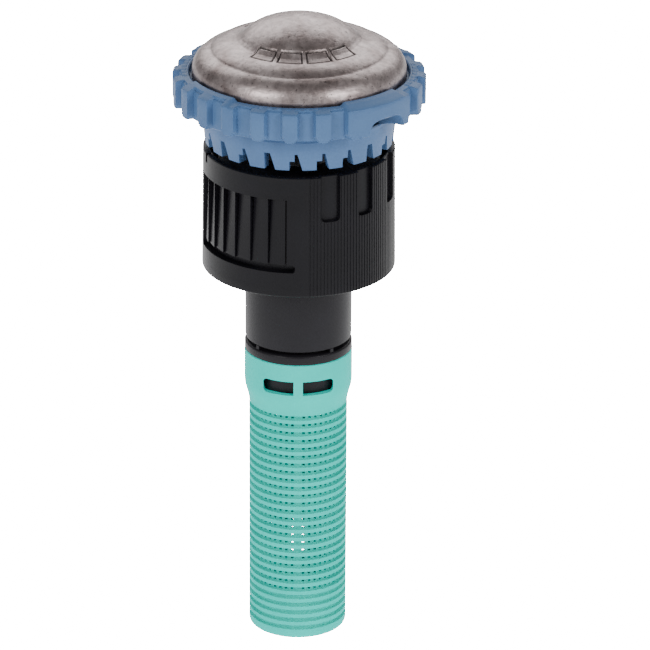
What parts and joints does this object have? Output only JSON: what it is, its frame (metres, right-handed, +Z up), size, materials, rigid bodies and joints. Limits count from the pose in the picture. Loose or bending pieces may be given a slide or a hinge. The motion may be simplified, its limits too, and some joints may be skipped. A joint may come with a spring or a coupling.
{
  "type": "pop-up sprinkler nozzle",
  "caption": "Rotary nozzle for a pop-up sprinkler riser: push-on tubular strainer, threaded neck, fluted radius collar, spring-loaded spinning deflector with knurled ring and steel cap.",
  "frame": {"origin": "centre of the strainer's closed foot, the lowest point of the assembly", "axes": "+Z up along the nozzle's axis, from the strainer to the steel cap; -Y is the front, with the grip panel to its left"},
  "size_m": [0.029, 0.029, 0.076],
  "materials": {
    "teal_plastic": "satin moulded polypropylene",
    "black_plastic": "satin moulded acetal",
    "grey_plastic": "satin",
    "blue_plastic": "satin moulded",
    "rubber": "matte",
    "stainless": "machined",
    "cap_steel": "tumbled stainless"
  },
  "bodies": {
    "body": {"nozzle_body": "black_plastic", "riser_gasket": "rubber", "shaft_guide": "grey_plastic", "return_spring": "stainless", "collar_seal_lower": "rubber", "collar_seal_upper": "rubber", "nozzle_cover": "black_plastic", "cover_gasket": "rubber"},
    "strainer": {"strainer": "teal_plastic"},
    "collar": {"radius_collar": "black_plastic", "throttle_plate": "grey_plastic"},
    "arc_valve": {"valve_sleeve": "grey_plastic", "sleeve_seal": "rubber"},
    "shaft": {"shaft": "stainless", "spring_seat": "stainless", "lower_clip": "stainless", "brake_disk": "stainless", "brake_clip": "stainless"},
    "head": {"deflector": "blue_plastic", "lip_seal": "rubber", "friction_disk": "rubber", "friction_pad": "rubber", "brake_retainer": "grey_plastic", "cap": "cap_steel"}
  },
  "joints": [
    {"name": "strainer_pull", "type": "slide", "parent": "body", "child": "strainer", "axis": [0, 0, -1], "range_m": [0, 0.03]},
    {"name": "radius_adjust", "type": "hinge", "parent": "body", "child": "collar", "pos_m": [0, 0, 0.05], "axis": [0, 0, 1], "range_deg": [0, 90]},
    {"name": "arc_adjust", "type": "hinge", "parent": "body", "child": "arc_valve", "pos_m": [0, 0, 0.058], "axis": [0, 0, 1], "range_deg": [0, 225]},
    {"name": "pop_up", "type": "slide", "parent": "body", "child": "shaft", "axis": [0, 0, 1], "range_m": [-0.0005, 0.0055], "stiffness_N_per_m": 400, "deforming": ["return_spring"]},
    {"name": "deflector_spin", "type": "hinge", "parent": "shaft", "child": "head", "pos_m": [0, 0, 0.065], "axis": [0, 0, 1], "continuous": true}
  ]
}
